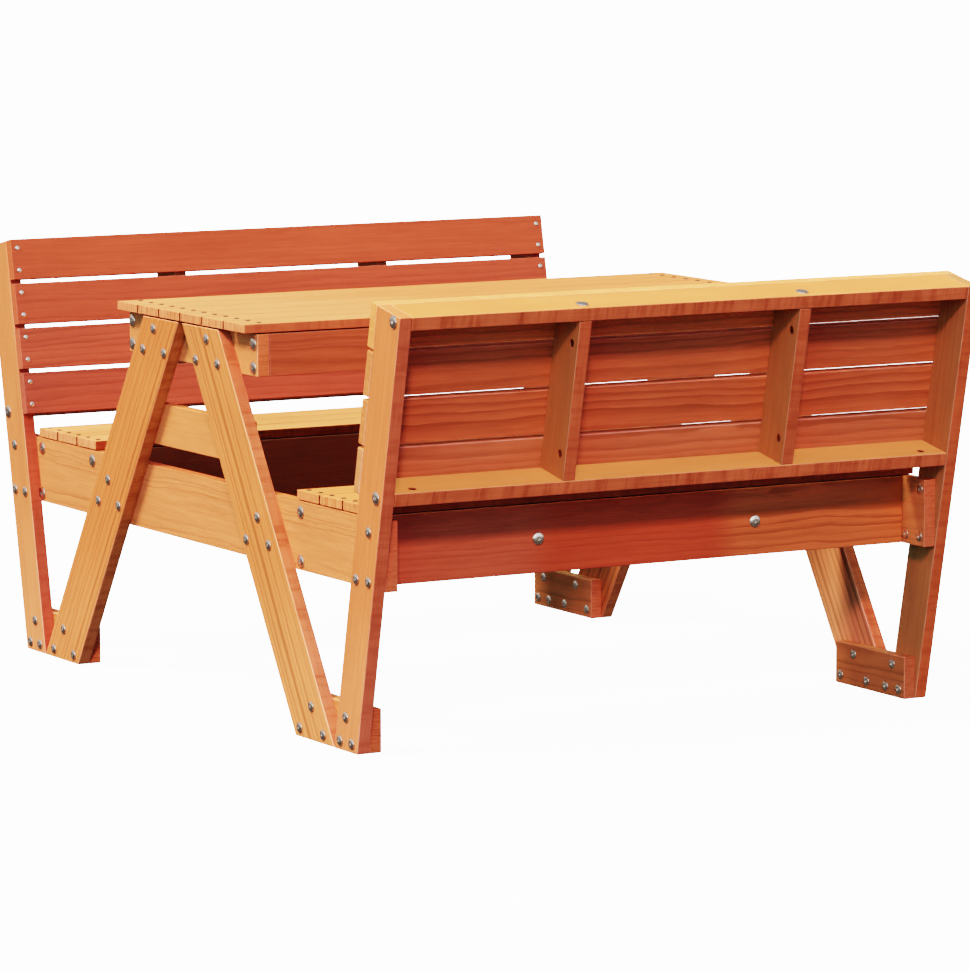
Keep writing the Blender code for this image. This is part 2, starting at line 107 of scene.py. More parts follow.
# ------------------------------------------------------------ node shorthand
class Tree:
    """Short calls for building a node tree."""

    def __init__(self, tree):
        self.tree = tree

    def node(self, kind, **props):
        n = self.tree.nodes.new(kind)
        for key, value in props.items():
            setattr(n, key, value)
        return n

    def put(self, socket, value):
        if isinstance(value, bpy.types.NodeSocket):
            self.tree.links.new(value, socket)
        elif value is not None:
            socket.default_value = value

    def math(self, op, a, b=None, c=None, clamp=False):
        n = self.node("ShaderNodeMath", operation=op, use_clamp=clamp)
        for i, v in enumerate((a, b, c)):
            if v is not None:
                self.put(n.inputs[i], v)
        return n.outputs[0]

    def vec(self, op, a, b=None, scale=None):
        n = self.node("ShaderNodeVectorMath", operation=op)
        self.put(n.inputs[0], a)
        if b is not None:
            self.put(n.inputs[1], b)
        if scale is not None:
            self.put(n.inputs["Scale"], scale)
        return n.outputs["Value"] if op in ("DOT_PRODUCT", "LENGTH") else n.outputs["Vector"]

    def noise(self, vector, size, detail=2.0, rough=0.5, distortion=0.0):
        """Noise whose features are size = (x, y, z) mm long."""
        scaled = self.vec("MULTIPLY", vector, tuple(1.0 / s for s in size))
        n = self.node("ShaderNodeTexNoise", noise_dimensions="3D")
        self.put(n.inputs["Vector"], scaled)
        n.inputs["Scale"].default_value = 1.0
        n.inputs["Detail"].default_value = detail
        n.inputs["Roughness"].default_value = rough
        n.inputs["Distortion"].default_value = distortion
        return n.outputs[0]

    def line(self, w, scale, detail=1.0):
        n = self.node("ShaderNodeTexNoise", noise_dimensions="1D")
        self.put(n.inputs["W"], w)
        n.inputs["Scale"].default_value = scale
        n.inputs["Detail"].default_value = detail
        return n.outputs[0]

    def remap(self, value, a, b, c=0.0, d=1.0, smooth=False):
        n = self.node("ShaderNodeMapRange", clamp=True)
        n.interpolation_type = "SMOOTHSTEP" if smooth else "LINEAR"
        self.put(n.inputs["Value"], value)
        for key, v in (("From Min", a), ("From Max", b), ("To Min", c), ("To Max", d)):
            self.put(n.inputs[key], v)
        return n.outputs[0]

    def ramp(self, value, stops, ease="LINEAR"):
        n = self.node("ShaderNodeValToRGB")
        n.color_ramp.interpolation = ease
        while len(n.color_ramp.elements) < len(stops):
            n.color_ramp.elements.new(0.5)
        for e, (pos, color) in zip(n.color_ramp.elements, stops):
            e.position = pos
            e.color = (*color, 1.0) if isinstance(color, tuple) else (color, color, color, 1.0)
        self.put(n.inputs[0], value)
        return n.outputs[0]

    def mix(self, factor, a, b, blend="MIX"):
        n = self.node("ShaderNodeMix", data_type="RGBA", blend_type=blend)
        n.clamp_factor = True
        self.put(n.inputs[0], factor)
        for socket, v in ((n.inputs[6], a), (n.inputs[7], b)):
            self.put(socket, (*v, 1.0) if isinstance(v, tuple) and len(v) == 3 else v)
        return n.outputs[2]

    def split(self, vector):
        n = self.node("ShaderNodeSeparateXYZ")
        self.put(n.inputs[0], vector)
        return n.outputs

    def join(self, x, y, z):
        n = self.node("ShaderNodeCombineXYZ")
        for i, v in enumerate((x, y, z)):
            self.put(n.inputs[i], v)
        return n.outputs[0]


# ---------------------------------------------------------------- pine group
EARLY = (0.62, 0.178, 0.056)        # light wood between the rings, stained
LATE = (0.31, 0.090, 0.026)         # the dark line of each ring
STREAK = (0.46, 0.120, 0.035)       # darker streaks along the fibres
PORE = (0.29, 0.066, 0.019)
ARRIS_HIGHLIGHT = (0.88, 0.34, 0.17)           # painted highlight on the arrises


def pine_group():
    """Stained pine cut from a log that lies along the board's own x axis."""
    g = bpy.data.node_groups.new("pine_figure", "ShaderNodeTree")
    face = g.interface
    for name, kind in (("Seed", "NodeSocketVector"), ("Pith", "NodeSocketVector"),
                       ("Drift", "NodeSocketVector"), ("Ring", "NodeSocketFloat"),
                       ("Wave", "NodeSocketFloat"), ("Contrast", "NodeSocketFloat"),
                       ("Streaks", "NodeSocketFloat"), ("Bands", "NodeSocketFloat"),
                       ("Ends", "NodeSocketFloat"), ("Arris", "NodeSocketFloat"),
                       ("Hairs", "NodeSocketFloat"), ("Rims", "NodeSocketFloat"),
                       ("Tint", "NodeSocketVector"), ("Up_edge", "NodeSocketVector"),
                       ("Low_edge", "NodeSocketVector"), ("Cap", "NodeSocketVector"),
                       ("Pale_foot", "NodeSocketFloat"), ("Narrow", "NodeSocketFloat"),
                       ("Along", "NodeSocketVector"), ("Across", "NodeSocketVector")):
        face.new_socket(name, in_out="INPUT", socket_type=kind)
    for name, kind in (("Color", "NodeSocketColor"), ("Roughness", "NodeSocketFloat"),
                       ("Height", "NodeSocketFloat")):
        face.new_socket(name, in_out="OUTPUT", socket_type=kind)
    t = Tree(g)
    gin = t.node("NodeGroupInput").outputs
    gout = t.node("NodeGroupOutput").inputs
    coords = t.node("ShaderNodeTexCoord")
    square = t.vec("CROSS_PRODUCT", gin["Along"], gin["Across"])

    def own(vector):
        """A vector in the board's own axes."""
        return t.join(*(t.vec("DOT_PRODUCT", vector, a) for a in (gin["Along"], gin["Across"], square)))

    p = t.vec("SCALE", own(coords.outputs["Object"]), scale=1000.0)      # mm
    q = t.vec("ADD", p, gin["Seed"])

    # ring distance: from the pith, bent by slow and quick waves along the board
    rel = t.vec("SUBTRACT", p, gin["Pith"])
    rx, ry, rz = t.split(rel)
    dx, dy, dz = t.split(gin["Drift"])
    ry = t.math("ADD", ry, t.math("MULTIPLY", rx, dy))
    rz = t.math("ADD", rz, t.math("MULTIPLY", rx, dz))
    slow = t.math("SUBTRACT", t.noise(q, (260.0, 70.0, 70.0), 1.0), 0.5)
    mid = t.math("SUBTRACT", t.noise(q, (80.0, 15.0, 15.0), 2.0), 0.5)
    quick = t.math("SUBTRACT", t.noise(q, (30.0, 4.5, 4.5), 2.0), 0.5)
    radius = t.math("SQRT", t.math("ADD", t.math("MULTIPLY", ry, ry), t.math("MULTIPLY", rz, rz)))
    radius = t.math("MULTIPLY_ADD", slow, t.math("MULTIPLY", gin["Wave"], 2.0), radius)
    radius = t.math("MULTIPLY_ADD", mid, t.math("MULTIPLY", gin["Wave"], 0.75), radius)
    radius = t.math("MULTIPLY_ADD", quick, 1.6, radius)
    turns = t.math("DIVIDE", radius, gin["Ring"])
    sx_, _, _ = t.split(gin["Seed"])
    drift = t.line(t.math("ADD", t.math("MULTIPLY", turns, 0.45), sx_), 1.0)
    turns = t.math("MULTIPLY_ADD", t.math("SUBTRACT", drift, 0.5), 1.5, turns)
    part = t.math("FRACT", turns)
    late = t.ramp(part, [(0.0, 0.0), (0.38, 0.05), (0.62, 0.36), (0.77, 1.0), (0.88, 0.80), (1.0, 0.0)], "EASE")
    late = t.math("POWER", late, gin["Narrow"])
    ring_no = t.math("ADD", t.math("FLOOR", turns), sx_)
    strength = t.remap(t.line(t.math("MULTIPLY", ring_no, 7.31), 1.0, 0.0), 0.3, 0.7, 0.35, 1.15)
    late = t.math("MULTIPLY", late, strength)
    # thin lines between the rings
    hair = t.line(t.math("ADD", t.math("MULTIPLY", radius, 0.42), sx_), 1.0, 2.0)
    hair = t.remap(hair, 0.50, 0.72, 0.0, 1.0, True)

    # fibres: long thin streaks and short dark pores
    fibre = t.noise(q, (60.0, 1.4, 1.4), 3.0, 0.62)
    streak = t.noise(q, (120.0, 5.0, 5.0), 2.0, 0.55)
    dash = t.remap(t.noise(q, (26.0, 2.0, 2.0), 1.0), 0.56, 0.70, 0.0, 1.0, True)
    pores = t.remap(t.noise(q, (9.0, 0.55, 0.55), 1.0), 0.62, 0.74, 0.0, 1.0, True)
    blotch = t.noise(q, (150.0, 48.0, 48.0), 2.0, 0.5)

    # which way this point of the board faces, in the board's own axes
    nx, ny, nz = t.split(own(coords.outputs["Normal"]))
    ax, ay, az = (t.math("ABSOLUTE", n) for n in (nx, ny, nz))
    on_edge = t.remap(ay, 0.72, 0.92, 0.0, 1.0, True)
    on_end = t.remap(ax, 0.62, 0.85, 0.0, 1.0, True)
    arris = t.remap(t.math("MINIMUM", ay, az), 0.10, 0.40, 0.0, 1.0, True)
    rim = t.remap(t.math("MINIMUM", ax, az), 0.10, 0.40, 0.0, 1.0, True)

    # cross figure on sawn edges: bands about square to the length
    px, py, pz = t.split(q)
    tilt = t.join(t.math("MULTIPLY_ADD", pz, 0.05, px), py, t.math("MULTIPLY", pz, 0.6))
    band_a = t.remap(t.noise(tilt, (8.5, 60.0, 40.0), 2.0, 0.6), 0.44, 0.66, 0.0, 1.0, True)
    band_b = t.remap(t.noise(tilt, (42.0, 120.0, 90.0), 1.0), 0.35, 0.65, 0.0, 1.0, True)
    band = t.math("ADD", t.math("MULTIPLY", band_a, 0.62), t.math("MULTIPLY", band_b, 0.38))
    end_line = t.remap(t.noise(q, (60.0, 2.6, 40.0), 2.0, 0.6), 0.46, 0.66, 0.0, 1.0, True)
    end_wide = t.noise(q, (60.0, 9.0, 60.0), 1.0)

    on_face = t.math("SUBTRACT", 1.0, t.math("MAXIMUM", on_edge, on_end))
    keep = t.math("MULTIPLY_ADD", on_face, 0.75, 0.25)
    amount = t.math("MULTIPLY", t.math("MULTIPLY", late, gin["Contrast"]), keep)
    color = t.mix(amount, EARLY, LATE)
    color = t.mix(t.math("MULTIPLY", t.math("MULTIPLY", hair, keep), gin["Hairs"]), color, LATE)
    tint = t.math("MULTIPLY", t.remap(streak, 0.30, 0.70, 0.0, 1.0), gin["Streaks"])
    color = t.mix(tint, color, STREAK)
    color = t.mix(t.math("MULTIPLY", dash, t.math("MULTIPLY", gin["Streaks"], 0.45)), color, STREAK)
    color = t.vec("SCALE", color, scale=t.remap(fibre, 0.25, 0.75, 0.88, 1.11))
    color = t.mix(t.math("MULTIPLY", pores, 0.20), color, PORE)
    color = t.vec("SCALE", color, scale=t.remap(blotch, 0.25, 0.75, 0.92, 1.08))
    edge_dark = t.math("MULTIPLY", t.math("MULTIPLY", on_edge, gin["Bands"]), band)
    color = t.mix(edge_dark, color, t.vec("MULTIPLY", color, (0.60, 0.50, 0.46)))
    end_dark = t.math("MULTIPLY", t.math("MULTIPLY", on_end, gin["Ends"]),
                      t.math("MULTIPLY_ADD", end_line, 0.75, t.math("MULTIPLY", end_wide, 0.25)))
    color = t.mix(end_dark, color, t.vec("MULTIPLY", color, (0.55, 0.44, 0.38)))
    # tints of the two long edges and of the ends; per piece these are mostly painted light and shade, making edges and
    # ends lighter, darker or pinker as light falls on them
    up_side = t.remap(ny, 0.72, 0.92, 0.0, 1.0, True)
    low_side = t.remap(ny, -0.72, -0.92, 0.0, 1.0, True)
    color = t.mix(up_side, color, t.vec("MULTIPLY", color, gin["Up_edge"]))
    color = t.mix(low_side, color, t.vec("MULTIPLY", color, gin["Low_edge"]))
    color = t.mix(on_end, color, t.vec("MULTIPLY", color, gin["Cap"]))
    # painted highlight: arrises and rims are mixed towards a pale colour, unevenly along them
    painted_arris_highlight = t.math("MULTIPLY", t.math("MAXIMUM", t.math("MULTIPLY", arris, gin["Arris"]),
                                     t.math("MULTIPLY", rim, gin["Rims"])),
                  t.remap(t.noise(q, (34.0, 12.0, 12.0), 2.0), 0.3, 0.6, 0.35, 1.0))
    color = t.mix(painted_arris_highlight, color, ARRIS_HIGHLIGHT)
    # painted light: the colour grows paler and bluer towards the floor, below 0.26 m, by Pale_foot
    _, _, above = t.split(t.node("ShaderNodeNewGeometry").outputs["Position"])
    foot = t.math("MULTIPLY", t.remap(above, 0.26, 0.05, 0.0, 1.0, True), gin["Pale_foot"])
    color = t.mix(foot, color, t.vec("MULTIPLY", color, (1.12, 1.22, 1.36)))
    t.put(gout["Color"], t.vec("MULTIPLY", color, gin["Tint"]))

    rough = t.remap(fibre, 0.2, 0.8, 0.47, 0.61)
    rough = t.math("MULTIPLY_ADD", late, -0.07, rough)
    rough = t.math("MULTIPLY_ADD", on_end, 0.12, rough)
    t.put(gout["Roughness"], rough)
    height = t.math("MULTIPLY_ADD", late, 0.42, t.math("MULTIPLY", fibre, 0.40))
    height = t.math("MULTIPLY_ADD", pores, -0.35, height)
    height = t.math("MULTIPLY_ADD", t.math("MULTIPLY", on_end, end_line), 0.3, height)
    t.put(gout["Height"], height)
    return g


PINE = pine_group()


def pine(name, blend=(), **inputs):
    """Stain and figure, with a per-piece tint that partly stands in for light and shade; blend lists (x0, x1, tint,
    contrast), each taking over from x0 to x1 mm.
    """
    m = bpy.data.materials.new(name)
    m.use_nodes = True
    m.node_tree.nodes.clear()
    t = Tree(m.node_tree)
    g = t.node("ShaderNodeGroup", name="figure")
    g.node_tree = PINE
    for key, value in inputs.items():
        g.inputs[key.capitalize()].default_value = value
    tint, contrast = tuple(inputs["tint"]), inputs["contrast"]
    for x0, x1, next_tint, next_contrast in blend:
        along = t.split(t.node("ShaderNodeTexCoord").outputs["Object"])[0]
        share = t.remap(along, x0 / 1000.0, x1 / 1000.0, 0.0, 1.0, True)
        tint = t.mix(share, tint, next_tint)
        contrast = t.remap(along, x0 / 1000.0, x1 / 1000.0, contrast, next_contrast)
        t.put(g.inputs["Tint"], tint)
        t.put(g.inputs["Contrast"], contrast)
    bump = t.node("ShaderNodeBump")
    bump.inputs["Strength"].default_value = 0.55
    bump.inputs["Distance"].default_value = 0.0003
    t.put(bump.inputs["Height"], g.outputs["Height"])
    shader = t.node("ShaderNodeBsdfPrincipled")
    t.put(shader.inputs["Base Color"], g.outputs["Color"])
    t.put(shader.inputs["Roughness"], g.outputs["Roughness"])
    t.put(shader.inputs["Normal"], bump.outputs[0])
    shader.inputs["Specular IOR Level"].default_value = 0.2
    t.put(t.node("ShaderNodeOutputMaterial").inputs[0], shader.outputs[0])
    m.diffuse_color = (*EARLY, 1.0)
    return m


# ------------------------------------------------------------- steel material
def steel(name, light, dark, rough):
    m = bpy.data.materials.new(name)
    m.use_nodes = True
    m.node_tree.nodes.clear()
    t = Tree(m.node_tree)
    p = t.vec("SCALE", t.node("ShaderNodeTexCoord").outputs["Object"], scale=1000.0)
    cloud = t.noise(p, (3.2, 3.2, 3.2), 3.0, 0.6)
    speck = t.noise(p, (0.5, 0.5, 0.5), 2.0, 0.6)
    color = t.mix(t.remap(cloud, 0.35, 0.68), light, dark)
    color = t.mix(t.remap(speck, 0.56, 0.74, 0.0, 0.35), color, tuple(0.62 * c for c in dark))
    r = t.remap(cloud, 0.3, 0.7, rough - 0.06, rough + 0.09)
    r = t.math("MULTIPLY_ADD", t.math("SUBTRACT", speck, 0.5), 0.16, r)
    bump = t.node("ShaderNodeBump")
    bump.inputs["Strength"].default_value = 0.25
    bump.inputs["Distance"].default_value = 0.0001
    t.put(bump.inputs["Height"], t.math("MULTIPLY_ADD", cloud, 0.5, speck))
    shader = t.node("ShaderNodeBsdfPrincipled")
    shader.inputs["Metallic"].default_value = 1.0
    t.put(shader.inputs["Base Color"], color)
    t.put(shader.inputs["Roughness"], r)
    t.put(shader.inputs["Normal"], bump.outputs[0])
    t.put(t.node("ShaderNodeOutputMaterial").inputs[0], shader.outputs[0])
    m.diffuse_color = (*light, 1.0)
    return m


ZINC = steel("zinc_plated_steel", (0.86, 0.83, 0.81), (0.66, 0.63, 0.60), 0.24)
# painted shade: a darker copy of the zinc for the screws on top of the tabletop and seats
SHADED_ZINC = steel("zinc_steel_painted_shade", (0.36, 0.30, 0.22), (0.22, 0.18, 0.13), 0.30)
# painted shade: dark brownish steel for the barrel nuts, which sit deep in their holes
SHADED_NUT_STEEL = steel("nut_steel_painted_shade", (0.26, 0.15, 0.10), (0.16, 0.09, 0.06), 0.42)


# --------------------------------------------------------------- mesh helpers
def slant(side, s, w, x=0.0):
    """Point s up the lean and w inwards from the post's outer edge."""
    return Vector((x, side * (POST_OUT + s * SIN - w * COS), s * COS + w * SIN))


def slant_up(side):
    return Vector((0, side * SIN, COS))


def slant_out(side):
    return Vector((0, side * COS, -SIN))


def axes(origin, ex, ey):
    """Matrix (mm) with local x along ex, local y along ey."""
    ex, ey = Vector(ex).normalized(), Vector(ey).normalized()
    ez = ex.cross(ey)
    o = Vector(origin)
    return Matrix(((ex.x, ey.x, ez.x, o.x), (ex.y, ey.y, ez.y, o.y),
                   (ex.z, ey.z, ez.z, o.z), (0, 0, 0, 1)))


def facing(origin, direction, flat=(0, 0, 1)):
    """Matrix (mm) with local z along direction, for turned pieces."""
    z = Vector(direction).normalized()
    y = Vector(flat)
    if abs(y.dot(z)) > 0.95:
        y = Vector((1, 0, 0))
    y = (y - y.dot(z) * z).normalized()
    x = y.cross(z)
    o = Vector(origin)
    return Matrix(((x.x, y.x, z.x, o.x), (x.y, y.y, z.y, o.y), (x.z, y.z, z.z, o.z), (0, 0, 0, 1)))


def ring_points(radius, z, sides, hexagon=False):
    """A ring of points; a hexagonal one keeps its corners at every sixth part."""
    out = []
    for i in range(sides):
        a = 2 * math.pi * i / sides
        r = radius
        if hexagon:
            k = (a % (math.pi / 3)) - math.pi / 6
            r = radius * math.cos(math.pi / 6) / math.cos(k)
        out.append(Vector((r * math.cos(a), r * math.sin(a), z)))
    return out


def turn(bm, matrix, profile, sides, tag=None):
    """Adds a closed solid turned about local z. profile runs from the first
    pole to the last as (radius, z[, hexagon]); radius 0 makes a pole."""
    rings = []
    for item in profile:
        r, z = item[0], item[1]
        if r <= 0:
            rings.append([bm.verts.new(matrix @ Vector((0, 0, z)) * MM)])
        else:
            pts = ring_points(r, z, sides, len(item) > 2 and item[2])
            rings.append([bm.verts.new(matrix @ v * MM) for v in pts])
    for a, b in zip(rings, rings[1:]):
        n = sides
        for i in range(n):
            j = (i + 1) % n
            if len(a) == 1:
                bm.faces.new((a[0], b[i], b[j]))
            elif len(b) == 1:
                bm.faces.new((a[i], b[0], a[j]))
            else:
                bm.faces.new((a[i], b[i], b[j], a[j]))


def mesh_from(bm, name, sharp=None):
    bmesh.ops.recalc_face_normals(bm, faces=bm.faces)
    mesh = bpy.data.meshes.new(name)
    bm.to_mesh(mesh)
    bm.free()
    if sharp:
        mesh.shade_smooth()
        mesh.set_sharp_from_angle(angle=math.radians(sharp))
    return mesh


def temp(name, mesh):
    o = bpy.data.objects.new(name, mesh)
    scene.collection.objects.link(o)
    return o


# -------------------------------------------------------------------- boards
holes = {}       # board -> {"a": [...], "b": [...]} turned cutters in mm, world axes
boards = {}


def hole(board, matrix, profile, table="a", sides=18):
    holes.setdefault(board, {"a": [], "b": []})[table].append((matrix, profile, sides))


def board(name, matrix, outline, thick, look, radius=1.4, square=False):
    """outline: corners in the board's own (x, y), mm. square keeps the short edges
    at the board's corners sharp."""
    boards[name] = (matrix, outline, thick, look, radius, square)


def rectangle(length, width):
    a, b = length / 2, width / 2
    return [(-a, -b), (a, -b), (a, b), (-a, b)]


def build_board(name):
    matrix, outline, thick, look, radius, square = boards[name]
    bm = bmesh.new()
    h = thick / 2 * MM
    low = [bm.verts.new((x * MM, y * MM, -h)) for x, y in outline]
    top = [bm.verts.new((x * MM, y * MM, h)) for x, y in outline]
    n = len(outline)
    bm.faces.new(low[::-1])
    bm.faces.new(top)
    for i in range(n):
        j = (i + 1) % n
        bm.faces.new((low[i], low[j], top[j], top[i]))
    bmesh.ops.recalc_face_normals(bm, faces=bm.faces)
    flat = [e for e in bm.edges if abs(e.verts[0].co.z - e.verts[1].co.z) < h]
    bmesh.ops.bevel(bm, geom=flat if square else list(bm.edges), offset=radius * MM, segments=3,
                    profile=0.5, affect="EDGES", clamp_overlap=True)
    mesh = mesh_from(bm, name)
    obj = temp(name, mesh)
    cutters = []
    inverse = matrix.inverted()
    for table in ("a", "b"):
        items = holes.get(name, {}).get(table)
        if not items:
            continue
        cb = bmesh.new()
        for m, profile, sides in items:
            turn(cb, inverse @ m, profile, sides)
        c = temp(name + "_cut_" + table, mesh_from(cb, name + "_cut_" + table))
        cutters.append(c)
        mod = obj.modifiers.new("cut_" + table, "BOOLEAN")
        mod.operation, mod.solver, mod.object = "DIFFERENCE", "EXACT", c
    depsgraph = bpy.context.evaluated_depsgraph_get()
    cut = bpy.data.meshes.new_from_object(obj.evaluated_get(depsgraph))
    if len(cut.vertices) < 60:
        raise ValueError("the cut left too little of " + name)
    obj.modifiers.clear()
    for c in cutters:
        old = c.data
        bpy.data.objects.remove(c)
        bpy.data.meshes.remove(old)
    bm = bmesh.new()
    bm.from_mesh(cut)
    bmesh.ops.remove_doubles(bm, verts=bm.verts, dist=2e-6)
    bmesh.ops.dissolve_degenerate(bm, edges=bm.edges, dist=1e-6)
    bm.to_mesh(cut)
    bm.free()
    cut.materials.clear()
    cut.materials.append(look)
    cut.shade_smooth()
    cut.set_sharp_from_angle(angle=math.radians(42))
    obj.data = cut
    cut.name = name
    weigh = obj.modifiers.new("weigh", "WEIGHTED_NORMAL")
    weigh.mode, weigh.weight, weigh.keep_sharp = "FACE_AREA", 80, True
    depsgraph = bpy.context.evaluated_depsgraph_get()
    final = bpy.data.meshes.new_from_object(obj.evaluated_get(depsgraph), preserve_all_data_layers=True,
                                            depsgraph=depsgraph)
    obj.modifiers.clear()
    obj.data = final
    final.name = name
    final.transform(matrix.to_3x3().to_4x4())
    obj.location = matrix.translation * MM
    obj.name = "wood." + name
    figure = look.node_tree.nodes["figure"].inputs
    figure["Along"].default_value = matrix.col[0][:3]
    figure["Across"].default_value = matrix.col[1][:3]
    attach(obj, "root")
    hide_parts(name)
    return obj


WHITE = (1.0, 1.0, 1.0)
SHADY = (0.24, 0.15, 0.13)          # painted shade on sawn faces inside a narrow joint

# How each kind of board was sawn: pith (y from/to, z from/to), ring width, wave, and how strongly rings, streaks, edge
# bands, end figure and the painted arris highlight show. up_edge, low_edge and cap are painted light and shade on edges
# and ends: SHADY is painted joint shade, the others lighten, darken or re-tint them.
KINDS = {
    "leg": dict(pith=(100, 140, 50, 90), ring=(9.0, 10.5), wave=3.2, contrast=1.0, hairs=0.14,
                streaks=0.26, bands=0.85, ends=0.3, arris=0.62, rims=0.0, cap=SHADY, pale_foot=1.0,
                up_edge=(0.98, 0.90, 1.20), low_edge=(0.98, 0.90, 1.20)),
    "post": dict(pith=(120, 180, 50, 90), ring=(8.0, 10.0), wave=3.0, contrast=0.34, hairs=0.12,
                 streaks=0.34, bands=0.55, ends=0.3, arris=0.60, rims=0.3, pale_foot=0.8,
                 up_edge=(0.96, 0.97, 1.10), low_edge=(0.96, 0.97, 1.10)),
    "beam": dict(pith=(0, 25, 18, 30), ring=(5.5, 7.0), wave=8.0, contrast=0.62, hairs=0.08,
                 streaks=0.50, bands=0.2, ends=0.5, arris=0.0, rims=0.6, up_edge=(0.75, 0.62, 0.60)),
    "cleat": dict(pith=(5, 22, 50, 70), ring=(6.5, 8.5), wave=8.0, contrast=0.32, hairs=0.05,
                  streaks=0.36, bands=0.5, ends=0.5, arris=0.2, rims=0.7, up_edge=SHADY),
    "tie": dict(pith=(10, 30, 60, 90), ring=(7.0, 9.0), wave=7.0, contrast=0.24, hairs=0.05,
                streaks=0.32, bands=0.2, ends=0.5, arris=0.0, rims=0.3),
    "block": dict(pith=(10, 30, 30, 50), ring=(7.0, 9.0), wave=6.0, contrast=0.80, narrow=0.8, hairs=0.10,
                  streaks=0.45, bands=0.3, ends=0.8, arris=0.45),
    "top": dict(pith=(5, 30, 50, 80), ring=(8.0, 12.0), wave=5.0, contrast=0.16, hairs=0.10,
                streaks=0.26, bands=0.5, ends=1.0, arris=0.10, rims=0.1, cap=(1.30, 1.30, 1.45)),
    "seat": dict(pith=(5, 30, 50, 80), ring=(8.0, 11.0), wave=5.0, contrast=0.50, hairs=0.18,
                 streaks=0.50, bands=0.5, ends=0.8, arris=0.10, rims=0.1, cap=(1.22, 1.24, 1.35)),
    "slat": dict(pith=(30, 60, 25, 45), ring=(8.5, 11.0), wave=7.5, contrast=0.55, hairs=0.05,
                 streaks=0.50, bands=0.3, ends=0.3, arris=0.40, rims=0.6),
    "apron": dict(pith=(15, 50, 35, 60), ring=(7.0, 9.0), wave=9.0, contrast=0.85, narrow=0.65, hairs=0.08,
                  streaks=0.50, bands=0.3, ends=0.4, arris=0.15, rims=0.3, up_edge=SHADY),
    "rail": dict(pith=(60, 90, 30, 60), ring=(8.0, 10.0), wave=4.0, contrast=0.25, hairs=0.08,
                 streaks=0.34, bands=0.90, ends=0.4, arris=0.40, rims=0.3),
    "divider": dict(pith=(90, 120, 30, 60), ring=(8.0, 10.0), wave=4.0, contrast=0.30, hairs=0.08,
                    streaks=0.35, bands=0.6, ends=0.4, arris=0.40, rims=0.3),
}


# tone and hue tint the whole piece; many hue values below are painted light and shade, lifting, darkening or re-tinting
# a piece where light or shade falls on it
def look(name, kind, tone=1.0, hue=WHITE, **changes):
    rnd = random.Random("pine " + name)
    spec = dict(rims=0.5, up_edge=WHITE, low_edge=WHITE, cap=WHITE, pale_foot=0.0, narrow=1.0)
    spec.update(KINDS[kind], **changes)
    tone *= rnd.uniform(0.97, 1.03)
    y0, y1, z0, z1 = spec.pop("pith")
    ring = spec.pop("ring")
    return pine("pine_" + name,
                seed=[rnd.uniform(0, 4000) for _ in range(3)],
                pith=(0.0, rnd.choice((-1, 1)) * rnd.uniform(y0, y1), rnd.choice((-1, 1)) * rnd.uniform(z0, z1)),
                drift=(0.0, rnd.uniform(-0.012, 0.012), rnd.uniform(-0.02, 0.02)),
                ring=rnd.uniform(*ring) if isinstance(ring, tuple) else ring,
                tint=[tone * h for h in hue], **spec)


# ---- fasteners: where they are, and the holes that they need
fasteners = {"frame_bolts": {}, "sleeve_nuts": {}, "connector_bolts": {}, "barrel_nuts": {},
             "wood_screws": {}}


def fastener(kind, group, matrix):
    fasteners[kind].setdefault(group, []).append(matrix)


BOLT_HOLE = 2.9


def frame_bolt(outer, inner, group, sx, y, z):
    out = facing((sx * HALF, y, z), (sx, 0, 0))
    length = HALF - IN2
    hole(outer, out, [(0, 1.0), (BOLT_HOLE, 1.0), (BOLT_HOLE, -THICK - 1), (0, -THICK - 1)])
    hole(inner, out, [(0, -THICK + 1), (BOLT_HOLE, -THICK + 1), (BOLT_HOLE, -length - 1), (0, -length - 1)])
    fastener("frame_bolts", group, out)
    fastener("sleeve_nuts", group, facing((sx * IN2, y, z), (-sx, 0, 0)))


def connector(first, second, group, origin, direction, through, nut_axis, reach, relief=None):
    d = Vector(direction).normalized()
    out = facing(origin, -d, nut_axis)
    hole(first, out, [(0, 1.0), (BOLT_HOLE, 1.0), (BOLT_HOLE, -through - 1), (0, -through - 1)])
    hole(second, out, [(0, -through + 1), (BOLT_HOLE, -through + 1),
                       (BOLT_HOLE, -through - CONN_DEPTH - 6), (0, -through - CONN_DEPTH - 6)])
    centre = Vector(origin) + d * (through + CONN_DEPTH)
    nut = facing(centre, -Vector(nut_axis), direction)        # z out of the wood
    hole(second, nut, [(0, reach + 2), (5.3, reach + 2), (5.3, -5.3), (0, -5.3)], "b", 28)
    if relief:
        hole(relief, out, [(0, 4.2), (9.1, 4.2), (9.1, -1.0), (0, -1.0)], "b", 32)
    fastener("connector_bolts", group, out)
    fastener("barrel_nuts", group, (nut, reach))


def wood_screw(cover, into, group, origin, direction, thick, length):
    out = facing(origin, -Vector(direction))
    hole(cover, out, [(0, 1.0), (4.0, 1.0), (4.0, 0.0), (2.3, -2.4), (2.1, -thick - 1), (0, -thick - 1)])
    hole(into, out, [(0, -thick + 1), (1.7, -thick + 1), (1.2, -length + 2), (0, -length)])
    fastener("wood_screws", group, (out, length))


